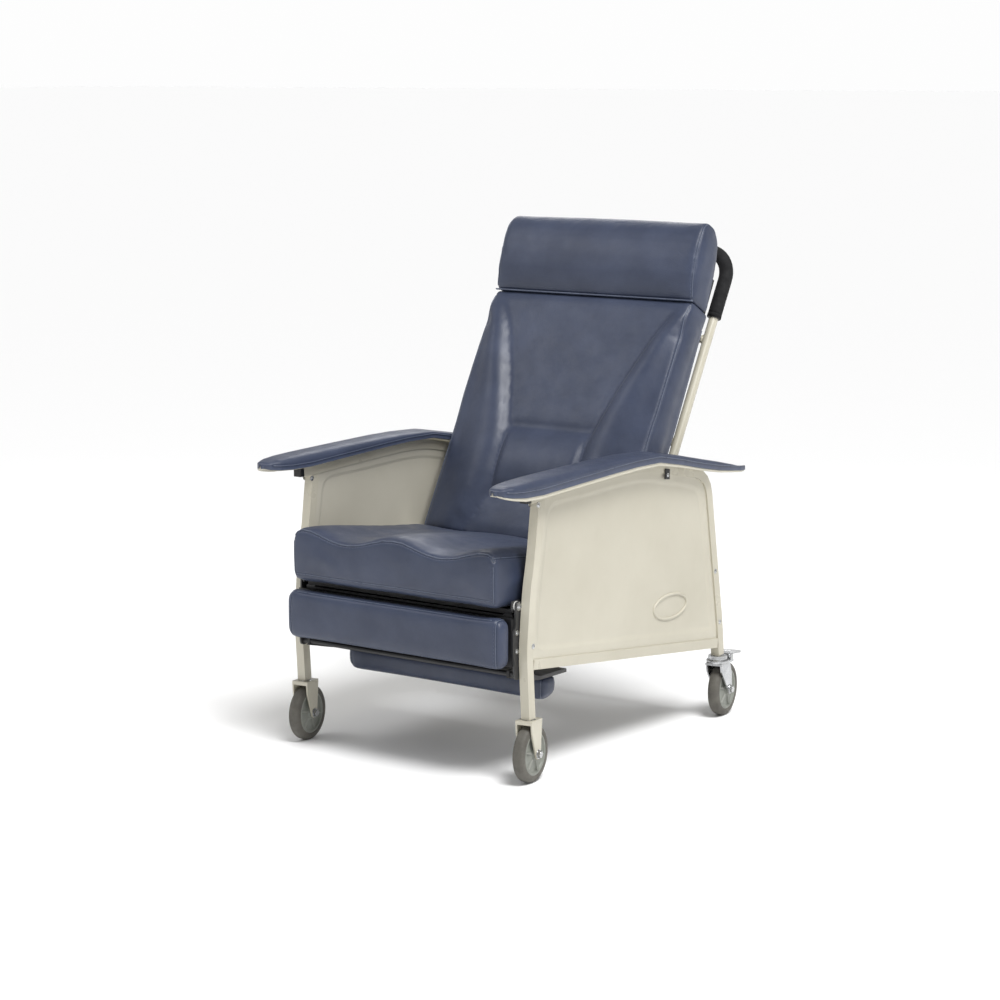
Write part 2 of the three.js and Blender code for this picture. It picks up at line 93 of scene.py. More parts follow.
def new_piece(name, verts, faces, body, slot, smooth=True, look=None):
    """Mesh object on a body; look names a finish other than its slot's."""
    mesh = bpy.data.meshes.new(name)
    mesh.from_pydata([tuple(v) for v in verts], [], faces)
    mesh.validate()
    obj = bpy.data.objects.new(name, mesh)
    bpy.context.scene.collection.objects.link(obj)
    mesh.polygons.foreach_set("use_smooth", [smooth] * len(mesh.polygons))
    mesh.materials.append(MATERIALS[look or slot])
    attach(obj, body)
    return obj


def apply_modifiers(obj):
    """Replaces the mesh by its evaluated result and clears the modifiers."""
    depsgraph = bpy.context.evaluated_depsgraph_get()
    mesh = bpy.data.meshes.new_from_object(obj.evaluated_get(depsgraph), depsgraph=depsgraph)
    obj.modifiers.clear()
    old = obj.data
    mesh.materials.clear()
    for m in old.materials:
        mesh.materials.append(m)
    obj.data = mesh
    mesh.name = obj.name
    bpy.data.meshes.remove(old)
    mesh.polygons.foreach_set("use_smooth", [True] * len(mesh.polygons))


def stops(half, r, step):
    """Places along one side of a rounded box, close together over the rounding."""
    n = max(2, round(2 * (half - r) / step))
    mid = np.linspace(-(half - r), half - r, n + 1)
    end = (half - r) + r * np.tan(np.array([0.33, 0.66, 1.0]) * math.pi / 4)
    return np.concatenate([-end[::-1], mid, end])


def rounded_box(half, r, step):
    """Vertices (local, mm) and quads of a box with rounded edges."""
    axes = [stops(h, r, step) for h in half]
    seen, verts, faces = {}, [], []

    def index(q):
        key = tuple(round(float(c), 3) for c in q)
        if key not in seen:
            inner = [max(-(h - r), min(h - r, c)) for c, h in zip(q, half)]
            d = Vector([c - i for c, i in zip(q, inner)])
            seen[key] = len(verts)
            verts.append(Vector(inner) + d.normalized() * r)
        return seen[key]

    for k in range(3):
        a, b = (k + 1) % 3, (k + 2) % 3
        for sign in (-1, 1):
            for i in range(len(axes[a]) - 1):
                for j in range(len(axes[b]) - 1):
                    quad = []
                    for u, v in ((i, j), (i + 1, j), (i + 1, j + 1), (i, j + 1)):
                        q = [0.0, 0.0, 0.0]
                        q[k], q[a], q[b] = sign * half[k], axes[a][u], axes[b][v]
                        quad.append(index(q))
                    faces.append(quad if sign > 0 else quad[::-1])
    return verts, faces


def round_corner(u, v, half_u, half_v, r):
    """Moves a point of a rectangle's rim onto a rectangle with corners of radius r."""
    du, dv = abs(u) - (half_u - r), abs(v) - (half_v - r)
    if du <= 0 or dv <= 0:
        return u, v
    k = max(du, dv) / math.hypot(du, dv)
    return math.copysign(half_u - r + du * k, u), math.copysign(half_v - r + dv * k, v)


def inflate(obj, voxel, pressure, cap):
    """Fills a closed skin with air as cloth, and keeps each point within cap of where it was."""
    remesh = obj.modifiers.new("Remesh", "REMESH")
    remesh.mode = "VOXEL"
    remesh.voxel_size = voxel * MM
    apply_modifiers(obj)
    rest = np.empty(len(obj.data.vertices) * 3)
    obj.data.vertices.foreach_get("co", rest)
    cloth = obj.modifiers.new("Cloth", "CLOTH")
    cs = cloth.settings
    cs.quality = 4
    cs.mass = 0.3
    cs.tension_stiffness = cs.compression_stiffness = 12
    cs.shear_stiffness = 5
    cs.bending_stiffness = 1.5
    cs.use_pressure = True
    cs.uniform_pressure_force = pressure
    cs.effector_weights.gravity = 0
    cloth.collision_settings.use_collision = False
    cloth.point_cache.frame_start, cloth.point_cache.frame_end = 1, CLOTH_FRAMES
    scene = bpy.context.scene
    for f in range(1, CLOTH_FRAMES + 1):
        scene.frame_set(f)
    done = obj.evaluated_get(bpy.context.evaluated_depsgraph_get()).to_mesh()
    puffed = np.empty(len(rest))
    done.vertices.foreach_get("co", puffed)
    obj.modifiers.clear()
    scene.frame_set(1)
    rest, move = rest.reshape(-1, 3), (puffed - rest).reshape(-1, 3)
    length = np.linalg.norm(move, axis=1, keepdims=True) + 1e-9
    limit = cap * MM
    kept = rest + move / length * limit * np.tanh(length / limit)
    obj.data.vertices.foreach_set("co", kept.ravel())
    relax = obj.modifiers.new("Relax", "CORRECTIVE_SMOOTH")
    relax.use_only_smooth = True
    relax.iterations = 4
    obj.modifiers.new("Fine", "SUBSURF").levels = 1
    apply_modifiers(obj)


def polyline(points, spacing):
    """Points evenly spaced along a path, metres."""
    pts = [Vector(p) for p in points]
    out, carry = [pts[0].copy()], 0.0
    for a, b in zip(pts, pts[1:]):
        length = (b - a).length
        d = spacing - carry
        while d <= length:
            out.append(a.lerp(b, d / length))
            d += spacing
        carry = (carry + length) % spacing
    return out


def skin(obj):
    """Search tree of a piece's skin."""
    mesh = obj.data
    return BVHTree.FromPolygons([v.co for v in mesh.vertices], [p.vertices for p in mesh.polygons])


def groove(obj, line, width, depth):
    """Presses a sewn line into a piece's skin."""
    reach = 3 * width
    tree = KDTree(len(line))
    for i, p in enumerate(line):
        tree.insert(p, i)
    tree.balance()
    mesh = obj.data
    co = np.empty(len(mesh.vertices) * 3)
    mesh.vertices.foreach_get("co", co)
    co = co.reshape(-1, 3)
    path = np.array(line)
    near = np.all((co > path.min(axis=0) - reach) & (co < path.max(axis=0) + reach), axis=1)
    for i in np.nonzero(near)[0]:
        v = mesh.vertices[int(i)]
        d = tree.find(v.co)[2]
        if d < reach:
            co[i] -= np.array(v.normal) * depth * math.exp(-(d / width) ** 2)
    mesh.vertices.foreach_set("co", co.ravel())
    mesh.update()


def seam(name, obj, tree, points, body, cord=1.3, width=4.0, depth=1.6, stitch=0.0, side=(0, 0, 1)):
    """A sewn line: a valley pressed in the skin, a fine welt in it, and stitches beside it if asked."""
    hits = [tree.find_nearest(p)[:2] for p in polyline(points, SEAM_STEP)]
    groove(obj, [co for co, _ in hits], width * MM, depth * MM)
    sunk = 0.35 * depth * MM
    # the welt takes the welt vinyl, painted lighter than the cover as a painted highlight along the seam
    tube(f"{name}_welt", [co - n * sunk for co, n in hits], cord * MM, body, "vinyl", look="welt")
    if stitch:
        stitches(f"{name}_stitches", tree, hits, body, stitch, Vector(side), depth * MM)


def stitches(name, tree, hits, body, offset, side, depth):
    """Short thread runs beside a sewn line, on the side of the given direction."""
    verts, faces = [], []
    press = depth * math.exp(-(offset / 4) ** 2)
    for (a, _), (b, _) in list(zip(hits, hits[1:]))[::2]:
        co, n, _, _ = tree.find_nearest((a + b) / 2 + side * offset * MM)
        run = (b - a).normalized() * STITCH_HALF
        across = run.cross(n).normalized() * STITCH_WIDE
        co -= n * press
        base = len(verts)
        verts += [co - run, co + across, co + run, co - across, co + n * STITCH_HIGH]
        faces += [(base + k, base + (k + 1) % 4, base + 4) for k in range(4)]
        faces.append((base + 3, base + 2, base + 1, base))
    return new_piece(name, verts, faces, body, "vinyl", smooth=False, look="thread")


def tube(name, centres, r, body, slot, sides=8, closed=False, look=None):
    """Round cord along a list of points."""
    pts = [Vector(p) for p in centres]
    n = len(pts)
    verts, faces = [], []
    side = None
    for i, p in enumerate(pts):
        a = pts[(i - 1) % n] if closed else pts[max(0, i - 1)]
        b = pts[(i + 1) % n] if closed else pts[min(n - 1, i + 1)]
        d = (b - a).normalized()
        if side is None:
            side = d.orthogonal().normalized()
        side = (side - d * side.dot(d)).normalized()
        up = d.cross(side)
        for k in range(sides):
            ang = 2 * math.pi * k / sides
            verts.append(p + (side * math.cos(ang) + up * math.sin(ang)) * r)
    last = n if closed else n - 1
    for i in range(last):
        for k in range(sides):
            a, b = i * sides + k, i * sides + (k + 1) % sides
            c = ((i + 1) % n) * sides
            faces.append((a, b, c + (k + 1) % sides, c + k))
    if not closed:
        faces.append(tuple(range(sides))[::-1])
        faces.append(tuple((n - 1) * sides + k for k in range(sides)))
    return new_piece(name, verts, faces, body, slot, look=look)


def lathe(name, profile, steps, place, body, slot, smooth_angle=35):
    """Profile of (radius, along) in mm, closed on itself, turned about local X, then moved by place."""
    verts, faces = [], []
    n = len(profile)
    for i in range(steps):
        a = 2 * math.pi * i / steps
        for r, w in profile:
            verts.append(place @ Vector((w * MM, r * MM * math.cos(a), r * MM * math.sin(a))))
    for i in range(steps):
        for k in range(n):
            a, b = i * n + k, i * n + (k + 1) % n
            c = ((i + 1) % steps) * n
            faces.append((a, c + k, c + (k + 1) % n, b))
    obj = new_piece(name, verts, faces, body, slot)
    outward(obj)
    smooth_by_angle(obj, smooth_angle)
    return obj


def outward(obj):
    """Welds doubled points and turns the faces outward."""
    bm = bmesh.new()
    bm.from_mesh(obj.data)
    bmesh.ops.remove_doubles(bm, verts=bm.verts, dist=1e-7)
    bmesh.ops.recalc_face_normals(bm, faces=bm.faces)
    bm.to_mesh(obj.data)
    bm.free()


def smooth_by_angle(obj, degrees):
    """Smooth shading, with edges sharper than the angle kept crisp."""
    mesh = obj.data
    mesh.polygons.foreach_set("use_smooth", [True] * len(mesh.polygons))
    bm = bmesh.new()
    bm.from_mesh(mesh)
    limit = math.radians(degrees)
    for e in bm.edges:
        e.smooth = len(e.link_faces) == 2 and e.calc_face_angle(0) < limit
    bm.to_mesh(mesh)
    bm.free()


# ---- materials ----------------------------------------------------------------------------------
def material(name, dark, light, rough, metallic=0.0, patch=4.0, grain=None, soft=None, wear=None,
             coat=0.0, sheen=0.0, specular=0.5):
    """A procedural surface: two-tone patches, varied roughness, fine grain, broad bump, worn edges."""
    mat = bpy.data.materials.new(name)
    mat.use_nodes = True
    nt = mat.node_tree
    nt.nodes.clear()
    link = nt.links.new

    def node(kind, **values):
        n = nt.nodes.new(kind)
        for k, v in values.items():
            if k in n.inputs:
                n.inputs[k].default_value = v
            else:
                setattr(n, k, v)
        return n

    out = node("ShaderNodeOutputMaterial")
    bsdf = node("ShaderNodeBsdfPrincipled")
    bsdf.inputs["Metallic"].default_value = metallic
    bsdf.inputs["Coat Weight"].default_value = coat
    bsdf.inputs["Coat Roughness"].default_value = 0.25
    bsdf.inputs["Sheen Weight"].default_value = sheen
    bsdf.inputs["Sheen Roughness"].default_value = 0.5
    bsdf.inputs["Specular IOR Level"].default_value = specular
    link(bsdf.outputs[0], out.inputs[0])
    place = node("ShaderNodeTexCoord").outputs["Object"]
    patches = node("ShaderNodeTexNoise", Scale=patch, Detail=6.0, Roughness=0.6)
    link(place, patches.inputs["Vector"])
    ramp = node("ShaderNodeValToRGB")
    ramp.color_ramp.elements[0].position = 0.35
    ramp.color_ramp.elements[0].color = (*dark, 1)
    ramp.color_ramp.elements[1].position = 0.68
    ramp.color_ramp.elements[1].color = (*light, 1)
    link(patches.outputs["Fac"], ramp.inputs[0])
    colour = ramp.outputs[0]
    spread = node("ShaderNodeMapRange")
    spread.inputs["From Min"].default_value = 0.3
    spread.inputs["From Max"].default_value = 0.7
    spread.inputs["To Min"].default_value = rough[0]
    spread.inputs["To Max"].default_value = rough[1]
    smudge = node("ShaderNodeTexNoise", Scale=patch * 3.1, Detail=4.0)
    link(place, smudge.inputs["Vector"])
    link(smudge.outputs["Fac"], spread.inputs[0])
    link(spread.outputs[0], bsdf.inputs["Roughness"])
    if wear:
        shade, amount = wear
        geo = node("ShaderNodeNewGeometry")
        pick = node("ShaderNodeMapRange")
        pick.inputs["From Min"].default_value = 0.53
        pick.inputs["From Max"].default_value = 0.62
        pick.inputs["To Max"].default_value = amount
        link(geo.outputs["Pointiness"], pick.inputs[0])
        mix = node("ShaderNodeMix", data_type="RGBA")
        link(pick.outputs[0], mix.inputs["Factor"])
        link(colour, mix.inputs[6])
        mix.inputs[7].default_value = (*shade, 1)
        colour = mix.outputs[2]
    link(colour, bsdf.inputs["Base Color"])
    previous = None
    for kind, scale, depth in [b for b in (soft, grain) if b]:
        tex = node("ShaderNodeTexVoronoi" if kind == "cells" else "ShaderNodeTexNoise")
        tex.inputs["Scale"].default_value = scale
        link(place, tex.inputs["Vector"])
        bump = node("ShaderNodeBump")
        bump.inputs["Strength"].default_value = 1.0 if kind != "cells" else 0.6
        bump.inputs["Distance"].default_value = depth
        link(tex.outputs[0], bump.inputs["Height"])
        if previous:
            link(previous, bump.inputs["Normal"])
        previous = bump.outputs[0]
    if previous:
        link(previous, bsdf.inputs["Normal"])
    return mat


MATERIALS = {
    "vinyl": material("slate_vinyl", (0.028, 0.038, 0.072), (0.043, 0.056, 0.100), (0.36, 0.50), patch=9,
                      grain=("cells", 620, 0.00035), soft=("noise", 22, 0.0012),
                      wear=((0.125, 0.155, 0.235), 0.5), coat=0.08, sheen=0.04),
    # welt vinyl: the same cover as the slate vinyl, painted lighter (its rim colour lighter still) as a
    # painted highlight where light catches the welts; its lower roughness is real gloss
    "welt": material("welt_vinyl_painted_highlight", (0.058, 0.072, 0.115), (0.078, 0.095, 0.145), (0.26, 0.36), patch=40,
                     grain=("noise", 900, 0.0002), wear=((0.16, 0.19, 0.26), 0.5), coat=0.1),
    "thread": material("seam_thread", (0.10, 0.12, 0.18), (0.14, 0.17, 0.24), (0.5, 0.7), patch=300,
                       grain=("noise", 1500, 0.0002)),
    "frame_enamel": material("cream_enamel", (0.52, 0.49, 0.395), (0.60, 0.57, 0.47), (0.26, 0.4),
                             patch=5, grain=("noise", 420, 0.00012), wear=((0.42, 0.39, 0.31), 0.35),
                             coat=0.3),
    "panel_plastic": material("cream_plastic", (0.515, 0.487, 0.400), (0.57, 0.541, 0.452), (0.42, 0.58),
                              patch=3, grain=("cells", 900, 0.00015), soft=("noise", 9, 0.0008),
                              wear=((0.68, 0.66, 0.58), 0.3)),
    "black_enamel": material("black_enamel", (0.010, 0.010, 0.011), (0.020, 0.020, 0.022), (0.32, 0.5),
                             patch=9, grain=("noise", 500, 0.0001), wear=((0.12, 0.12, 0.12), 0.4)),
    "black_plastic": material("black_plastic", (0.008, 0.008, 0.009), (0.016, 0.016, 0.017), (0.4, 0.6),
                              patch=14, grain=("cells", 1100, 0.00012)),
    "foam_grip": material("foam_grip", (0.007, 0.007, 0.008), (0.017, 0.017, 0.018), (0.72, 0.9),
                          patch=30, grain=("cells", 800, 0.0006), soft=("noise", 60, 0.0010),
                          specular=0.3),
    "nylon": material("nylon", (0.72, 0.72, 0.68), (0.82, 0.82, 0.78), (0.3, 0.45), patch=20,
                      grain=("noise", 300, 0.0001)),
    "zinc_plate": material("zinc_plate", (0.48, 0.49, 0.50), (0.66, 0.67, 0.68), (0.16, 0.34),
                           metallic=1.0, patch=25, grain=("noise", 200, 0.00015),
                           wear=((0.30, 0.29, 0.27), 0.4)),
    "tyre_rubber": material("grey_tread", (0.085, 0.080, 0.068), (0.135, 0.128, 0.110), (0.55, 0.78),
                            patch=28, grain=("noise", 380, 0.0003), wear=((0.2, 0.19, 0.17), 0.5)),
    "hub_plastic": material("grey_hub", (0.19, 0.20, 0.175), (0.26, 0.27, 0.24), (0.38, 0.55), patch=18,
                            grain=("cells", 900, 0.00015), wear=((0.36, 0.36, 0.33), 0.4)),
}


def dress_cad():
    """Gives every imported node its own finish, and eases the hard edges."""
    slots = {s["node"]: s["material_slot"] for s in frame["record"]["subparts"]}
    for name, obj in frame["nodes"].items():
        obj.data.materials.clear()
        obj.data.materials.append(MATERIALS[slots[name]])
        if slots[name] == "vinyl":
            continue
        bevel = obj.modifiers.new("Eased", "BEVEL")
        bevel.width = (1.8 if "tube" in name or "_leg_" in name else 0.9) * MM
        bevel.segments = 2
        bevel.limit_method = "ANGLE"
        bevel.angle_limit = math.radians(35)
        bevel.harden_normals = False


# ---- soft pieces --------------------------------------------------------------------------------
def seat_wave(x, y):
    """Two thigh troughs across the front of the seat, fading to the rear."""
    return (-2 + 12 * math.cos(2 * math.pi * x / 262)) * (1 - 0.85 * ease(-20, 250, y))


def make_seat():
    half = wide, deep, thick = 287, 217, 55
    verts, faces = rounded_box(half, 8, 12)
    out = []
    for v in verts:
        x, w = round_corner(v.x, v.z, wide, thick, 20) if v.z > 0 else (v.x, v.z)
        y, h = v.y + 145, w + 60
        up = ease(30, 108, h)
        side = 1 - (abs(x) / wide) ** 8
        h += up * seat_wave(x, y) * (0.35 + 0.65 * side)
        h += 5 * up * (1 - (x / wide) ** 2) * (1 - ((y - 145) / deep) ** 2)
        front = ease(150, deep, -v.y)
        y -= front * 4 * (1 - ((h - 60) / 62) ** 2)
        y -= ease(150, 214, v.y) * (1 - ease(0, 110, h)) * 14
        out.append(seat_at(x, y, h))
    obj = new_piece("seat_cushion_cover", out, faces, "seat", "vinyl")
    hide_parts("seat_cushion")
    inflate(obj, 6, 4, 4.5)
    tree = skin(obj)
    brow = [seat_at(x, -73, 114 + seat_wave(x, -66) - 20 * ease(264, 289, abs(x)) ** 2)
            for x in range(-285, 286, 10)]
    seam("seat_front_seam", obj, tree, brow, "seat", cord=1.5, width=3.6, depth=2.2, stitch=5,
         side=(0, 0, -1))
    for side, s in SIDES:
        corner = [seat_at(s * 282, -78, h) for h in (8, 40, 75, 94)]
        seam(f"seat_corner_seam_{side}", obj, tree, corner, "seat", cord=1.2, width=3.2, depth=1.6,
             stitch=4.5, side=(-s, 0, 0))
        edge = [seat_at(s * 278, y, 113) for y in (-66, 0, 120, 240, 345)]
        seam(f"seat_side_seam_{side}", obj, tree, edge, "seat", cord=1.3, width=3.4, depth=1.6, stitch=5,
             side=(0, 0, -1))
    hem = [seat_at(x, -82, 14) for x in (-274, 0, 274)]
    seam("seat_hem_seam", obj, tree, hem, "seat", cord=1.0, width=3, depth=1.2)


# distance up the back, half width of the plain panel between the bolsters
PANEL_HALF = [(-25, 168), (0, 156), (50, 136), (90, 122), (130, 116), (200, 116), (245, 122), (300, 136),
              (360, 154), (430, 180), (500, 206), (560, 238), (594, 266)]
# distance up the back, height of the side bolsters
BOLSTER = [(-25, 8), (20, 15), (80, 22), (140, 27), (200, 28), (245, 29), (300, 31), (400, 30),
           (500, 24), (560, 13), (594, 2)]


def back_half(s):
    """Half width of the back cushion."""
    return 285 + 3 * ease(240, 340, s)


def back_relief(x, s):
    """How far the back's front face stands behind its plane, mm: side bolsters, waist and lumbar pad."""
    c = table(PANEL_HALF, s)
    d = abs(x) - c
    rise = 1 - math.exp(-max(0.0, d + 3) / 21)
    t = 4 * math.exp(-(d / 9) ** 2) * ease(594, 500, s)
    t -= table(BOLSTER, s) * rise * (1 - 0.85 * ease(34, max(70, 280 - c), d))
    inside = ease(c + 5, c - 12, abs(x))
    roll = math.sin(math.pi * (s - 92) / 160) if 92 < s < 252 else 0.0
    t -= 19 * inside * roll ** 0.7
    t += 5 * inside * math.exp(-((s - 258) / 11) ** 2)
    t += 6 * inside * math.exp(-((s - 88) / 15) ** 2)
    return t


def make_back():
    half = wide, _, deep = 271, 312, 43
    verts, faces = rounded_box(half, 7, 11)
    out = []
    for v in verts:
        s, k = v.y + 290, (v.z + deep) / (2 * deep)
        x = v.x * back_half(s) / wide
        rear = 104.5 - 0.0405 * s
        relief = back_relief(x, s)
        t = 3 + k * (rear - 3) + relief * ease(0.75, 0.0, k)
        out.append(back_at(x * 0.99, s, t))
    obj = new_piece("back_cushion_cover", out, [f[::-1] for f in faces], "back", "vinyl")
    outward(obj)
    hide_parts("back_cushion")
    inflate(obj, 5.5, 4, 3)
    tree = skin(obj)
    for side, s in SIDES:
        rim = [back_at(s * (back_half(v) - 7), v, back_relief(back_half(v) - 8, v) + 3)
               for v in range(-14, 590, 12)]
        seam(f"back_edge_seam_{side}", obj, tree, rim, "back", cord=1.4, width=3.4, depth=1.8,
             stitch=4.5, side=(-s, 0, 0))
        rear = [back_at(s * (back_half(v) - 5), v, 102 - 0.0405 * v) for v in range(-10, 580, 30)]
        seam(f"back_rear_seam_{side}", obj, tree, rear, "back", cord=1.2, width=3.2, depth=1.4)


# distance up the back, then how far the headrest's front and rear faces stand behind the back's plane
HEAD_ROWS = [(600, 0, 82), (608, -4, 81), (624, -12, 78), (654, -25, 74), (692, -34, 69), (726, -38, 60),
             (753, -38, 51), (772, -34, 42), (785, -26, 31), (793, -13, 18)]


def make_headrest():
    half = wide, tall, deep = 282, 96, 36
    verts, faces = rounded_box(half, 7, 9)
    foot, top = HEAD_ROWS[0][0], HEAD_ROWS[-1][0]
    out = []
    for v in verts:
        a = (v.y + tall) / (2 * tall)
        k = (v.z + deep) / (2 * deep)
        s = foot + a * (top - foot)
        front, rear = table(HEAD_ROWS, s), table(HEAD_ROWS, s, 2)
        crown = 4 * (1 - (v.x / wide) ** 2)
        t = front + 3 + k * (rear - front - 6) - crown * (1 - k) * math.sin(math.pi * min(1, a * 1.1))
        s += crown * ease(0.7, 1, a)
        out.append(back_at(v.x * (1.006 - 0.022 * ease(0.75, 1, a)), s, t))
    obj = new_piece("headrest_cover", out, faces, "back", "vinyl")
    outward(obj)
    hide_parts("headrest_cushion")
    inflate(obj, 5, 4, 3)
    tree = skin(obj)
    for side, s in SIDES:
        rim = [back_at(s * 280, row[0], row[1] + 3) for row in HEAD_ROWS[1:]]
        rim += [back_at(s * 277, row[0] - 4, row[2] - 2) for row in HEAD_ROWS[:3:-1]]
        seam(f"headrest_end_seam_{side}", obj, tree, rim, "back", cord=1.4, width=3.4, depth=1.6,
             stitch=4.5, side=(-s, 0, 0))
    joint = [back_at(x, 600.5, 1.5) for x in range(-282, 283, 12)]
    # the joint welt takes the welt vinyl, painted lighter than the cover as a painted highlight along the
    # seam
    tube("headrest_joint_welt", joint, 1.9 * MM, "back", "vinyl", sides=12, look="welt")


def make_legrest():
    half = wide, tall, deep = 302, 56, 18
    verts, faces = rounded_box(half, 9, 11)
    out = []
    for v in verts:
        x, w = round_corner(v.x, v.y, wide, tall, 22)
        crown = 2 * (1 - ease(deep, -deep, v.z)) * (1 - (w / tall) ** 2)
        out.append(at(x, -56 - v.z - crown, 309.5 + w))
    obj = new_piece("legrest_cover", out, faces, "legrest", "vinyl")
    outward(obj)
    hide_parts("legrest_pad")
    inflate(obj, 5.5, 4, 3)
    tree = skin(obj)
    for side, s in SIDES:
        end = [at(s * 286, -40, 361), at(s * 286, -68, 361), at(s * 287, -74, 350),
               at(s * 287, -74, 268), at(s * 286, -68, 257), at(s * 286, -40, 257)]
        seam(f"legrest_end_seam_{side}", obj, tree, end, "legrest", cord=1.2, width=3.2, depth=1.6,
             stitch=4.5, side=(-s, 0, 0))
    for name, z in (("top", 363), ("bottom", 256)):
        line = [at(x, -70, z) for x in (-272, 0, 272)]
        seam(f"legrest_{name}_seam", obj, tree, line, "legrest", cord=1.1, width=3, depth=1.2)


def make_footrest():
    half = wide, _, tall = 280, 24, 26
    verts, faces = rounded_box(half, 10, 10)
    out = []
    for v in verts:
        x, w = round_corner(v.x, v.z, wide, tall, 24) if v.z < 0 else (v.x, v.z)
        slim = ease(0, -tall, w)
        y = 134.5 + v.y * (1 - 0.22 * slim) - 4 * slim
        out.append(at(x, y, 178 + w))
    obj = new_piece("footrest_cover", out, faces, "footrest", "vinyl")
    outward(obj)
    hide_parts("footrest_pad")
    inflate(obj, 5, 4, 2)
    tree = skin(obj)
    for side, s in SIDES:
        end = [at(s * 269, 112, 200), at(s * 269, 109, 172), at(s * 265, 118, 154),
               at(s * 265, 146, 154), at(s * 269, 160, 176)]
        seam(f"footrest_end_seam_{side}", obj, tree, end, "footrest", cord=1.1, width=3, depth=1.2)


# y, inner x, outer x, board underside z, pad top z, lip drop
ARM = [(-127, 314, 330, 638, 648, 0), (-118, 304, 341, 635, 653.5, 1), (-96, 294, 350, 632.5, 658, 4),
       (-60, 288, 356, 631, 661, 8), (0, 286, 357, 631, 664, 9), (134, 286, 357, 638.4, 668, 9),
       (270, 286, 357, 645.6, 671.5, 9), (350, 286, 357, 648.9, 671.5, 9), (440, 286, 357, 648.4, 668, 8),
       (530, 288, 356, 631.6, 653, 6), (620, 298, 353, 612.6, 634.5, 5), (700, 310, 350, 598, 618.5, 4),
       (762, 320, 346, 589, 605, 2), (800, 326, 342, 583.5, 596, 1), (824, 331, 338, 581, 590.5, 0)]
ARM_FRONT, ARM_REAR = -132, 830      # ends of the wrapped pad


def arm_row(y):
    """Inner x, outer x, underside z, pad top z and lip drop of the arm at y."""
    return [table(ARM, y, k) for k in range(1, 6)]


def make_arm(side, s):
    """Thin vinyl pad wrapped over the board's edges, on a row of cross sections from front to rear."""
    n, top_steps = 150, 26
    verts, faces = [], []
    for i in range(n + 1):
        y = ARM_FRONT + (ARM_REAR - ARM_FRONT) * (0.5 - 0.5 * math.cos(math.pi * i / n))
        a, b, z, top, lip = arm_row(y)
        tip = min(1.0, math.sqrt(max(0.0, (y - ARM_FRONT + 0.5) / 7)),
                  math.sqrt(max(0.0, (ARM_REAR + 0.5 - y) / 7)))
        cx, wide = (a + b) / 2, ((b - a) / 2 + 2) * (0.3 + 0.7 * tip)
        floor, brow = z + 8.3, z + 11
        ring = []
        for k in range(top_steps + 1):
            ang = math.pi * k / top_steps
            ca, sa = math.cos(ang), math.sin(ang)
            ring.append((cx + wide * math.copysign(abs(ca) ** 0.5, ca),
                         brow + max(1.5, top - brow) * abs(sa) ** 0.75))
        hem = z - lip * 0.45
        ring += [(cx - wide, z + 3), (cx - wide + 2, z + 2), (cx - wide + 3.5, floor),
                 (cx + wide - 3.5, floor), (cx + wide - 2, hem + 2), (cx + wide, hem + 3)]
        verts += [at(s * px, y, pz) for px, pz in ring]
    ring = top_steps + 7
    for i in range(n):
        for k in range(ring):
            a, b = i * ring + k, i * ring + (k + 1) % ring
            faces.append((a, b, b + ring, a + ring))
    faces.append(tuple(range(ring))[::-1])
    faces.append(tuple(n * ring + k for k in range(ring)))
    obj = new_piece(f"arm_pad_cover_{side}", verts, faces, "side_frames", "vinyl")
    outward(obj)
    smooth_by_angle(obj, 50)
    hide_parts(f"arm_pad_{side}")
    tree = skin(obj)
    run = [-112 + 13 * k for k in range(71)]
    for edge, c, out in (("outer", 1, 1.6), ("inner", 0, -1.6)):
        line = [at(s * (arm_row(y)[c] + out), y, arm_row(y)[2] + 12) for y in run]
        seam(f"arm_{edge}_seam_{side}", obj, tree, line, "side_frames", cord=1.2, width=2.6, depth=0.9)
    rows = [(y, arm_row(y)) for y in (-122, *run, 812)]
    bead = [at(s * (row[1] - 0.6), y, row[2] - row[4] + 1.2) for y, row in rows]
    tube(f"arm_board_bead_{side}", bead, 2.3 * MM, "side_frames", "panel_plastic", sides=10)


# ---- hard pieces ----------------------------------------------------------------------------------
LEG_X = 316.0                        # middle of a side frame's tubes
WHEEL_R = 63.5
WHEEL_TURN = math.radians(9)         # casters stand turned a little at rest
CASTERS = (("front", 3.0, 9.0), ("rear", 754.0, 31.0))      # end, stem y, trail
PUSH_X, PUSH_T = 262.0, 133.0        # push frame's uprights: x, and distance behind the back's plane
BAR_S, BEND = 785.0, 72.0            # height of the bar up the back, radius of its bends
CROSSBAR_HALF = 252
CROSSBARS = (40, 300, 560)           # heights up the back
FOAM_END = 622                       # where the bar's foam starts, up the back


def caster_place(s, stem_y, trail):
    """Axle frame of a caster: local X along the axle."""
    turn = Matrix.Rotation(WHEEL_TURN, 4, "Z")
    stem = Matrix.Translation(at(s * LEG_X, stem_y, 0))
    return stem @ turn @ Matrix.Translation((0, trail * MM, WHEEL_R * MM))


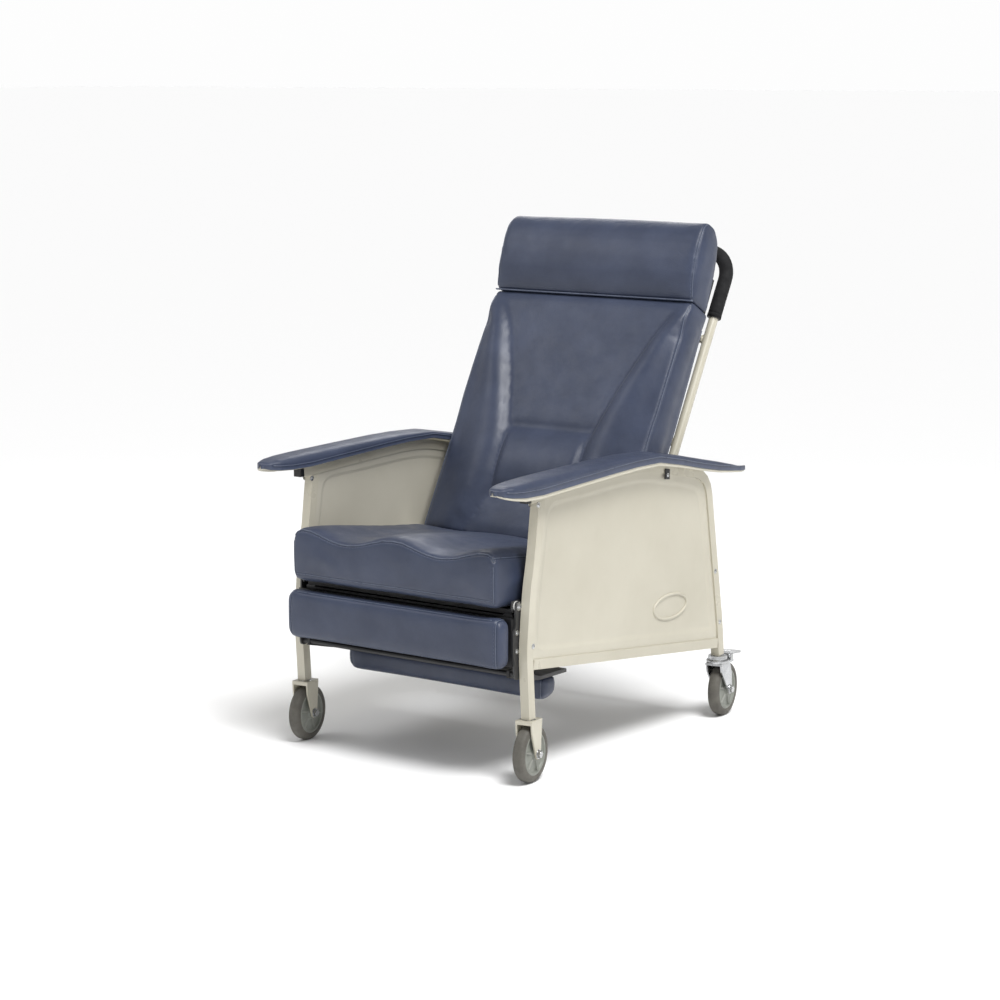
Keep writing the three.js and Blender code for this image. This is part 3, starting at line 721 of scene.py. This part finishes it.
def make_wheel(end, side, place):
    """Rounded tread with a fine step at each shoulder, dished hub and six ribs on each face."""
    name, body = f"{end}_caster_{side}", f"{end}_wheel_{side}"
    tread = [(48 + 15.4 * math.sin(a) ** 0.55,
              -14 * math.copysign(abs(math.cos(a)) ** 0.75, math.cos(a)))
             for a in np.linspace(0.02, math.pi - 0.02, 25)]
    band = [(r - (0.7 if abs(abs(w) - 12.6) < 0.8 else 0), w) for r, w in tread]
    tyre = lathe(f"{name}_tread", [*band, (47.2, 12), (47.2, -12)], 96, place, body, "tyre_rubber")
    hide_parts(f"{name}_tyre")
    half = [(6.2, 15.4), (12, 15.4), (13.4, 14.6), (14.6, 11.6), (17, 10.4), (30, 8.8), (38, 8.4),
            (40.5, 9.4), (42, 12.0), (43.4, 13.0), (46.4, 13.0), (47.8, 12.2)]
    profile = [*half, *[(r, -w) for r, w in reversed(half)]]
    hub = lathe(f"{name}_disc", profile, 96, place, body, "hub_plastic")
    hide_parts(f"{name}_hub")
    verts, faces = [], []
    for face in (-1, 1):
        for k in range(6):
            turn = place @ Matrix.Rotation(math.pi * k / 3 + 0.3, 4, "X")
            base = len(verts)
            for r, w in ((14.5, 3.0), (40.5, 1.8)):
                for u in (-w, -w * 0.6, w * 0.6, w):
                    lift = 8.0 if abs(u) == w else 12.0
                    verts.append(turn @ Vector((face * lift * MM, u * MM, r * MM)))
            faces += [[base + j, base + j + 1, base + j + 5, base + j + 4][::face] for j in range(3)]
            faces += [[base + j for j in (0, 1, 2, 3)], [base + j for j in (7, 6, 5, 4)],
                      [base + 3, base, base + 4, base + 7]]
    ribs = new_piece(f"{name}_hub_ribs", verts, faces, body, "hub_plastic", smooth=False)
    outward(ribs)


def make_axle(end, side, place):
    """Hex bolt head, washer and lock nut on the axle ends."""
    body = f"{end}_caster_{side}"
    for label, sign in (("bolt", 1), ("nut", -1)):
        across = place @ Matrix.Rotation(0 if sign > 0 else math.pi, 4, "Z")
        washer = [(0, 20.2), (10.5, 20.2), (10.8, 20.8), (10.5, 21.5), (0, 21.5)]
        lathe(f"{body}_axle_washer_{label}", washer, 40, across, body, "zinc_plate")
        end_x = 27.2 if sign > 0 else 26.2
        head = [(0, 21.4), (8.6, 21.4), (8.8, 22), (8.8, end_x - 1), (7.6, end_x), (0, end_x)]
        lathe(f"{body}_axle_{label}", head, 6, across, body, "zinc_plate", smooth_angle=10)
        face = [(0, end_x - 0.4), (6.6, end_x - 0.4), (6.2, end_x + 0.2), (0, end_x + 0.5)]
        lathe(f"{body}_axle_{label}_face", face, 32, across, body, "zinc_plate")


def make_stem(end, side, s, stem_y):
    """Race cover and stem ring where a caster turns under its leg."""
    body = f"{end}_caster_{side}"
    up = Matrix.Translation(at(s * LEG_X, stem_y, 0)) @ Matrix.Rotation(-math.pi / 2, 4, "Y")
    if end == "front":
        profile = [(0, 135), (14.5, 135), (15.5, 137), (15.5, 139.6), (14, 140.4), (0, 140.4)]
    else:
        profile = [(24.1, 131), (26.5, 132.5), (27.2, 136), (26.5, 139), (24, 141), (24, 131.5)]
    lathe(f"{body}_race_cover", profile, 64, up, body, "zinc_plate")


def screw(name, x, y, z, direction, r, body, slot="zinc_plate"):
    """Domed cross-head screw with a washer, its axis along X."""
    place = Matrix.Translation(at(x, y, z)) @ Matrix.Rotation(0 if direction > 0 else math.pi, 4, "Z")
    h = r * 0.55
    profile = [(0, -0.5), (r * 1.35, -0.5), (r * 1.35, 0.5), (r, 0.6), (r * 0.93, h * 0.6), (r * 0.6, h),
               (r * 0.32, h * 1.05), (r * 0.26, h * 0.45), (0, h * 0.4)]
    lathe(name, profile, 36, place, body, slot)


def make_screws():
    """Screws of the side frames, the legrest's arms and pivots, and the tray sockets."""
    for side, s in SIDES:
        for face, label in ((1, "outer"), (-1, "inner")):
            x = s * LEG_X + face * s * 11.0
            for k, (y, z) in enumerate([(22.5, 602), (5, 300), (722, 356), (744, 232)]):
                screw(f"frame_screw_{label}_{k}_{side}", x, y, z, face * s, 4.2, "side_frames")
        screw(f"lift_pivot_{side}", s * 302.6, -12, 386, s, 7.0, "legrest")
        screw(f"legrest_arm_screw_top_{side}", s * 302.6, -20, 330, s, 4.4, "legrest")
        screw(f"legrest_arm_screw_low_{side}", s * 302.6, -20, 290, s, 4.4, "legrest")
        screw(f"recline_pivot_{side}", s * 284.2, 400, 375, s, 7.0, "seat")
        screw(f"tray_socket_clip_{side}", s * (LEG_X + 10.0), -8.5, 618.6, s, 2.6, "side_frames",
              "black_plastic")


def on_push_bar(start, step):
    """Centre line of the push bar, from one upright over the top to the other."""
    inner = BAR_S - BEND
    line = [(PUSH_X, v) for v in np.arange(start, inner, step)]
    arc = [(PUSH_X - BEND + BEND * math.cos(a), inner + BEND * math.sin(a))
           for a in np.linspace(0, math.pi / 2, 13)]
    across = [(v, BAR_S) for v in np.arange(PUSH_X - BEND - step, 0.1, -step)]
    half = [*line, *arc, *across]
    return [back_at(x, v, PUSH_T) for x, v in [*half, *[(-x, v) for x, v in reversed(half) if x > 0]]]


def make_push_frame():
    """Bent push frame with its foam, end caps and crossbars, which saddles hold to the back board."""
    frame_tube = tube("push_frame_tube", on_push_bar(-12, 20), 11 * MM, "back", "frame_enamel", sides=32)
    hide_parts("back_frame")
    grip = tube("push_bar_foam", on_push_bar(FOAM_END, 9), 16.5 * MM, "back", "foam_grip", sides=36)
    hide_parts("push_grip")
    for side, s in SIDES:
        ends = [back_at(s * PUSH_X, FOAM_END + v, PUSH_T) for v in (-8, -6, 0, 2)]
        tube(f"push_bar_end_ring_{side}", ends[:3], 14.8 * MM, "back", "black_plastic", sides=36)
        tube(f"push_bar_foam_lip_{side}", ends[1:], 17.0 * MM, "back", "foam_grip", sides=36)
        cap = [back_at(s * PUSH_X, v, PUSH_T) for v in (-15, -12, -6)]
        tube(f"upright_end_cap_{side}", cap, 11.6 * MM, "back", "black_plastic", sides=32)
    for k, v in enumerate(CROSSBARS):
        bar = [back_at(x, v, PUSH_T) for x in range(-CROSSBAR_HALF, CROSSBAR_HALF + 1, 42)]
        tube(f"back_crossbar_{k}", bar, 9 * MM, "back", "frame_enamel", sides=28)
        board = 104.5 - 0.0405 * v + 9.4
        for side, s in SIDES:
            make_saddle(f"crossbar_saddle_{k}_{side}", s * 180, v, board)
            weld = [back_at(s * (PUSH_X - 11.5), v + 9.6 * math.cos(a), PUSH_T + 9.6 * math.sin(a))
                    for a in np.linspace(0, 2 * math.pi, 25)[:-1]]
            tube(f"crossbar_weld_{k}_{side}", weld, 1.8 * MM, "back", "frame_enamel", closed=True)



def make_saddle(name, x, v, board):
    """Pressed strap holding a crossbar to the back board, with two screws."""
    r, thick = 9.6, 2.2
    arc = [(r * math.cos(a), PUSH_T + r * math.sin(a)) for a in np.linspace(0, math.pi, 13)]
    inner = [(30, board), (r + 2.5, board), (r, PUSH_T - 6), *arc, (-r, PUSH_T - 6), (-r - 2.5, board),
             (-30, board)]
    top = board + thick
    outer = [(-30, top), (-r - 4, top), (-r - thick, PUSH_T - 5),
             *[(c * (r + thick) / r, PUSH_T + (t - PUSH_T) * (r + thick) / r) for c, t in reversed(arc)],
             (r + thick, PUSH_T - 5), (r + 4, top), (30, top)]
    ring = [*inner, *outer]
    verts = [back_at(x + w, v + c, t) for w in (-11, 11) for c, t in ring]
    n, m = len(ring), len(inner)
    faces = [(k, (k + 1) % n, (k + 1) % n + n, k + n) for k in range(n)]
    for k in range(m - 1):
        strip = (k, k + 1, n - 2 - k, n - 1 - k)
        faces += [strip, tuple(j + n for j in reversed(strip))]
    obj = new_piece(name, verts, faces, "back", "zinc_plate")
    outward(obj)
    smooth_by_angle(obj, 40)
    normal = back_at(0, 0, 1) - back_at(0, 0, 0)
    turn = normal.to_track_quat("X", "Z").to_matrix().to_4x4()
    head = [(0, -0.4), (4.6, -0.4), (4.4, 0.9), (2.8, 2.0), (1.4, 2.1), (1.1, 0.9), (0, 0.8)]
    for j, c in enumerate((-22, 22)):
        place = Matrix.Translation(back_at(x, v + c, top)) @ turn
        lathe(f"{name}_screw_{j}", head, 28, place, "back", "zinc_plate")


# corners of the side panel along the middles of the tubes round it: y, z
PANEL_EDGE = [(40, 628), (190, 630), (337, 637), (430, 637), (600, 604), (676, 585), (692, 552),
              (746, 224), (750, 184), (6, 261), (-7, 287), (6, 420), (20, 484)]
# inward from that outline and x off the tubes' middles, over the panel from its inner face outward
PANEL_ROWS = [(36, -5), (32, -5.6), (29, -7.2), (25, -8), (0, -8), (0, 6.6), (24, 6.8), (28, 6.3),
              (32, 4.6), (36, 3.3), (40, 3)]
OVAL_Y, OVAL_Z, OVAL_HALF = 544, 300, (67, 27.5)
BRACKET_Y = 512


def panel_loop(inward, passes):
    """The side panel's outline moved inward by so many mm, with its corners rounded."""
    corners = [np.array(p, float) for p in PANEL_EDGE]
    moved = []
    for k, p in enumerate(corners):
        to, away = p - corners[k - 1], corners[(k + 1) % len(corners)] - p
        n, m = (np.array((d[1], -d[0])) / np.hypot(*d) for d in (to, away))
        moved.append(p + (n + m) * inward / (1 + n @ m))
    loop = []
    for k, p in enumerate(corners):
        after = (k + 1) % len(corners)
        parts = max(2, round(np.hypot(*(corners[after] - p)) / 12))
        loop += [moved[k] + (moved[after] - moved[k]) * j / parts for j in range(parts)]
    loop = np.array(loop)
    for _ in range(passes):
        loop = (np.roll(loop, 1, 0) + 2 * loop + np.roll(loop, -1, 0)) / 4
    return loop


def make_side_panel(side, s):
    """Moulded panel: sunk fields on both faces inside a rounded border, and a plain oval bead."""
    loops = [(panel_loop(inward, 2 if inward == 0 else 10), x) for inward, x in PANEL_ROWS]
    n = len(loops[0][0])
    verts = [at(s * (LEG_X + x), y, z) for loop, x in loops for y, z in loop]
    faces = [(r * n + k, r * n + (k + 1) % n, (r + 1) * n + (k + 1) % n, (r + 1) * n + k)
             for r in range(len(loops) - 1) for k in range(n)]
    faces += [tuple(range(n)), tuple(range((len(loops) - 1) * n, len(loops) * n))]
    obj = new_piece(f"side_panel_moulding_{side}", verts, faces, "side_frames", "panel_plastic")
    outward(obj)
    smooth_by_angle(obj, 40)
    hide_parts(f"side_panel_{side}")
    a, b = OVAL_HALF
    turns = [2 * math.pi * k / 88 for k in range(88)]
    oval = [at(s * (LEG_X + 3.4), OVAL_Y + a * math.cos(t), OVAL_Z + b * math.sin(t)) for t in turns]
    tube(f"oval_bead_{side}", oval, 3.4 * MM, "side_frames", "panel_plastic", sides=12, closed=True)
    verts, faces = rounded_box((2.0, 9, 12), 1.5, 6)
    moved = [at(s * (LEG_X + 12.6) + v.x, BRACKET_Y + v.y, 610 + v.z - 0.15 * v.y) for v in verts]
    new_piece(f"arm_bracket_{side}", moved, faces, "side_frames", "black_enamel")
    screw(f"arm_bracket_screw_{side}", s * (LEG_X + 14.6), BRACKET_Y, 608, s, 3.4, "side_frames")


# ---- camera, light and floor --------------------------------------------------------------------
FLOOR_HALF = 150                     # metres, far enough for its edge to meet the horizon
# name, place, size, power in watts
SOFTBOXES = (("side_softbox", (2.0, -0.8, 3.0), 1.1, 34), ("front_softbox", (-1.9, -1.6, 2.7), 1.3, 13),
             ("rim", (-1.6, 2.4, 2.4), 1.4, 16))


def make_camera(scene):
    cam = bpy.data.cameras.new("camera")
    cam.lens, cam.sensor_width = 97.9, 36.0
    cam.clip_end = 400
    obj = bpy.data.objects.new("camera", cam)
    obj.location = at(3677.9, -4559.1, 1516.9)
    obj.rotation_euler = (math.radians(90 - 9.05), 0, math.radians(37.0))
    scene.collection.objects.link(obj)
    scene.camera = obj


def make_world(scene):
    """Bright near the horizon, softer overhead."""
    world = bpy.data.worlds.new("world")
    world.use_nodes = True
    nodes, link = world.node_tree.nodes, world.node_tree.links.new
    split = nodes.new("ShaderNodeSeparateXYZ")
    glow = nodes.new("ShaderNodeValToRGB")
    low, high = glow.color_ramp.elements
    low.position, high.position = 0.03, 0.09
    low.color = (0.985, 0.985, 0.985, 1)
    high.color = (0.40, 0.40, 0.40, 1)
    link(nodes.new("ShaderNodeTexCoord").outputs["Generated"], split.inputs[0])
    link(split.outputs["Z"], glow.inputs[0])
    link(glow.outputs[0], nodes["Background"].inputs[0])
    scene.world = world
    scene.view_settings.view_transform = "Standard"


def make_lights(scene):
    """A broad key from above the chair's left, and softboxes turned to the chair."""
    sun = bpy.data.lights.new("key", "SUN")
    sun.energy, sun.angle = 2.1, math.radians(24)
    lamp = bpy.data.objects.new("key", sun)
    lamp.rotation_euler = Vector((-0.44, 0.16, -0.88)).to_track_quat("-Z", "Y").to_euler()
    scene.collection.objects.link(lamp)
    for name, place, size, power in SOFTBOXES:
        light = bpy.data.lights.new(name, "AREA")
        light.size, light.energy = size, power
        lamp = bpy.data.objects.new(name, light)
        lamp.location = place
        lamp.rotation_euler = (Vector((0, 0, 0.6)) - lamp.location).to_track_quat("-Z", "Y").to_euler()
        scene.collection.objects.link(lamp)


def make_floor(scene):
    corners = [(x * FLOOR_HALF, y * FLOOR_HALF, 0) for x, y in ((-1, -1), (1, -1), (1, 1), (-1, 1))]
    mesh = bpy.data.meshes.new("floor")
    mesh.from_pydata(corners, [], [(0, 1, 2, 3)])
    floor = bpy.data.objects.new("floor", mesh)
    scene.collection.objects.link(floor)
    pale = bpy.data.materials.new("floor")
    pale.use_nodes = True
    sockets = pale.node_tree.nodes["Principled BSDF"].inputs
    sockets["Base Color"].default_value = (0.97, 0.97, 0.97, 1)
    sockets["Roughness"].default_value = 1.0
    sockets["Specular IOR Level"].default_value = 0.0
    mesh.materials.append(pale)


# ---- assembly -----------------------------------------------------------------------------------
stage = bpy.context.scene
make_camera(stage)
make_world(stage)
make_lights(stage)
make_floor(stage)
dress_cad()
make_seat()
make_back()
make_headrest()
make_legrest()
make_footrest()
for side, s in SIDES:
    make_arm(side, s)
    make_side_panel(side, s)
    for end, stem_y, trail in CASTERS:
        axle = caster_place(s, stem_y, trail)
        make_wheel(end, side, axle)
        make_axle(end, side, axle)
        make_stem(end, side, s, stem_y)
make_screws()
make_push_frame()
